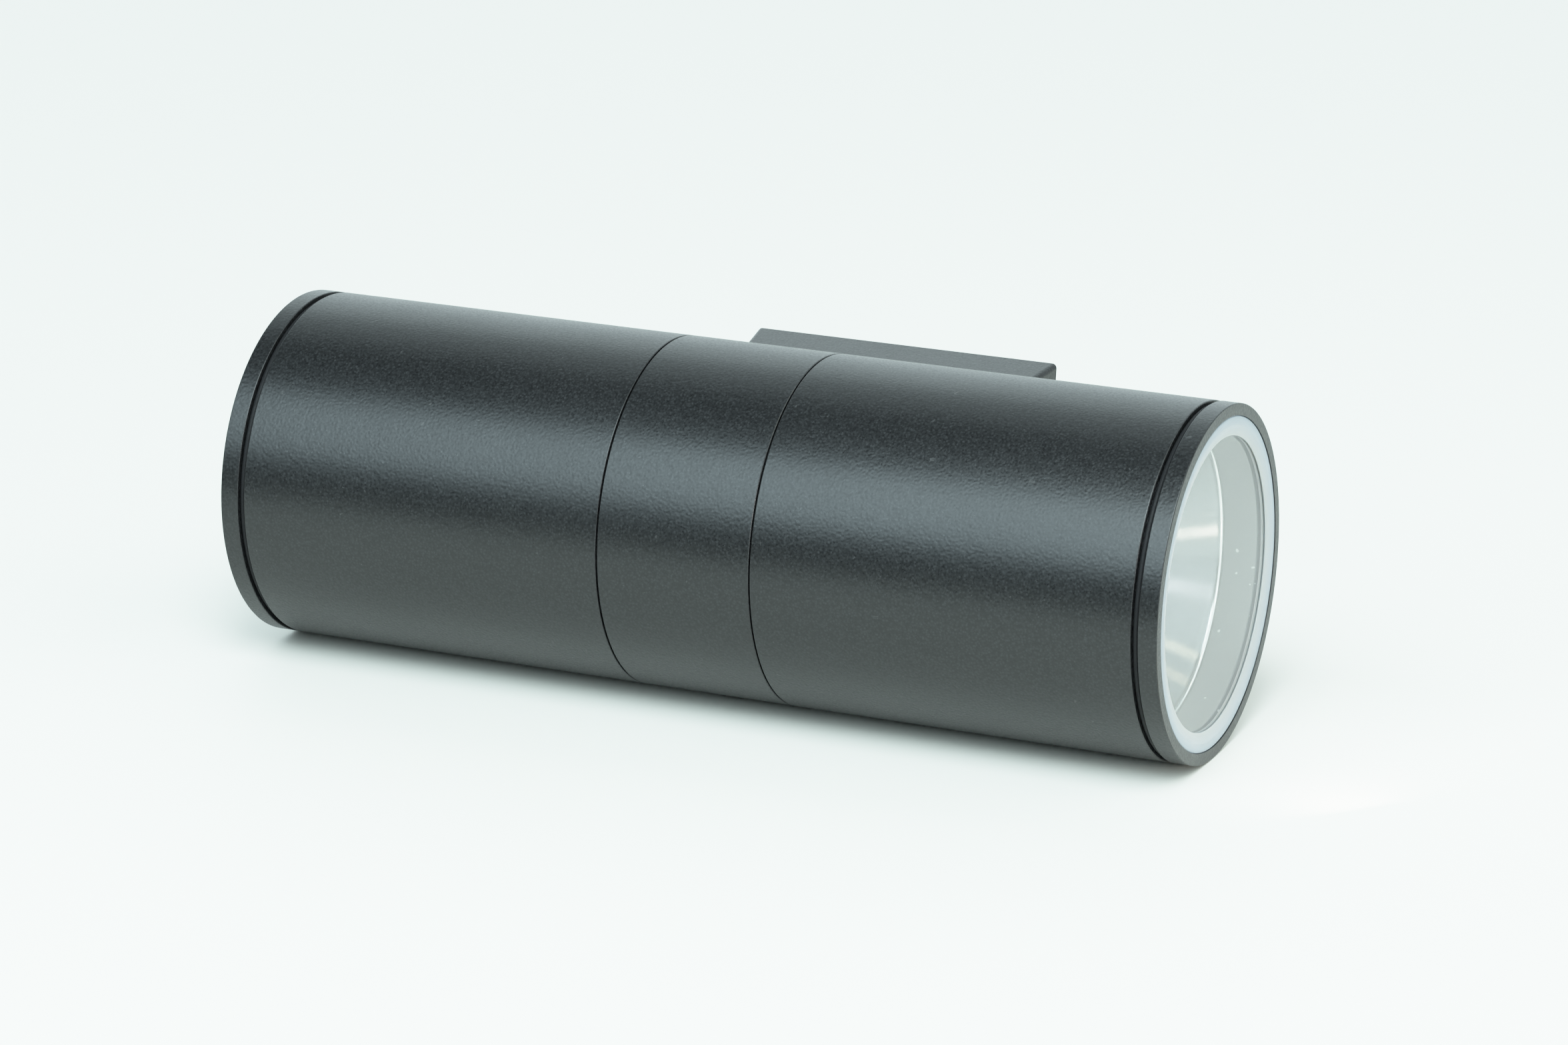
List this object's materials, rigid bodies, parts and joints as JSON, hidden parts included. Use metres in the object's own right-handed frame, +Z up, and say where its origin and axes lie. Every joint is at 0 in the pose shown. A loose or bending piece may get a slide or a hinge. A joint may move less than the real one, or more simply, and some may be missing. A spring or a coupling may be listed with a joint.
{
  "type": "tube wall light",
  "caption": "Slim cylindrical wall light that shines up and down, with a glass at each end in a screw-on ring, held off the wall by a short arm on a tapered box.",
  "frame": {"origin": "centre of the two fixing slots of the wall bracket, on the wall plane", "axes": "+Z up along the tubes, +Y into the wall, the lamp stands out towards -Y"},
  "size_m": [0.108, 0.176, 0.306],
  "materials": {
    "powder_coat": "fine textured satin black powder coat on aluminium",
    "screw_steel": "plain stainless steel, satin",
    "silicone": "translucent pale silicone rubber, satin",
    "glass": "clear toughened glass",
    "seal_rubber": "black rubber, satin",
    "reflector_aluminium": "bright anodised aluminium, softly faceted",
    "sleeve_plastic": "matt light grey moulded plastic",
    "bare_aluminium": "turned and milled aluminium",
    "holder_plastic": "white moulded nylon",
    "led_phosphor": "yellow phosphor on a pale ceramic board",
    "led_wire": "white silicone sleeved wire",
    "standoff_brass": "turned brass",
    "zinc_steel": "pressed zinc plated steel sheet",
    "driver_plastic": "white moulded plastic, fine texture",
    "circuit_board": "green circuit board with dark components",
    "live_wire": "brown wire insulation",
    "neutral_wire": "blue wire insulation",
    "earth_wire": "green and yellow wire insulation",
    "tinned_lug": "tinned copper ring terminal"
  },
  "bodies": {
    "lamp": {"upper_tube": "powder_coat", "upper_tube_screw": "screw_steel", "upper_reflector": "reflector_aluminium", "upper_sleeve": "sleeve_plastic", "upper_heat_sink": "bare_aluminium", "upper_heat_sink_screws": "screw_steel", "upper_holder_screws": "screw_steel", "upper_led_holder": "holder_plastic", "upper_led_module": "led_phosphor", "upper_led_leads": "led_wire", "upper_standoffs": "standoff_brass", "upper_tube_seal": "seal_rubber", "lower_tube": "powder_coat", "lower_tube_screw": "screw_steel", "lower_reflector": "reflector_aluminium", "lower_sleeve": "sleeve_plastic", "lower_heat_sink": "bare_aluminium", "lower_heat_sink_screws": "screw_steel", "lower_holder_screws": "screw_steel", "lower_led_holder": "holder_plastic", "lower_led_module": "led_phosphor", "lower_led_leads": "led_wire", "lower_standoffs": "standoff_brass", "lower_tube_seal": "seal_rubber", "centre_casting": "powder_coat", "driver_plate": "zinc_steel", "driver_case": "driver_plastic", "driver_cover": "driver_plastic", "driver_board": "circuit_board", "driver_plate_screws": "screw_steel", "driver_screws": "screw_steel", "wall_box": "powder_coat", "wall_seal": "seal_rubber", "side_screws": "screw_steel", "arm_gasket": "seal_rubber", "arm_screws": "screw_steel", "lead_bush": "seal_rubber", "wall_bracket": "zinc_steel", "terminal_block": "holder_plastic", "terminal_barrels": "standoff_brass", "terminal_screws": "screw_steel", "live_lead": "live_wire", "neutral_lead": "neutral_wire", "earth_lead": "earth_wire", "earth_lug": "tinned_lug", "earth_screw": "screw_steel"},
    "upper_seal_ring": {"upper_bezel_seal": "seal_rubber"},
    "upper_bezel_set": {"upper_bezel": "powder_coat", "upper_glass_gasket": "silicone", "upper_glass": "glass"},
    "lower_seal_ring": {"lower_bezel_seal": "seal_rubber"},
    "lower_bezel_set": {"lower_bezel": "powder_coat", "lower_glass_gasket": "silicone", "lower_glass": "glass"}
  },
  "joints": [
    {"name": "upper_bezel_lift", "type": "slide", "parent": "lamp", "child": "upper_seal_ring", "axis": [0, 0, 1], "range_m": [0, 0.01]},
    {"name": "upper_bezel_turn", "type": "hinge", "parent": "upper_seal_ring", "child": "upper_bezel_set", "pos_m": [0, -0.122, 0.147], "axis": [0, 0, 1], "range_deg": [0, 1798]},
    {"name": "lower_bezel_lift", "type": "slide", "parent": "lamp", "child": "lower_seal_ring", "axis": [0, 0, -1], "range_m": [0, 0.01]},
    {"name": "lower_bezel_turn", "type": "hinge", "parent": "lower_seal_ring", "child": "lower_bezel_set", "pos_m": [0, -0.122, -0.147], "axis": [0, 0, -1], "range_deg": [0, 1798]}
  ],
  "couplings": [
    {"joint": "upper_bezel_lift", "follows": "upper_bezel_turn", "m_per_rad": 0.00031831},
    {"joint": "lower_bezel_lift", "follows": "lower_bezel_turn", "m_per_rad": 0.00031831}
  ]
}
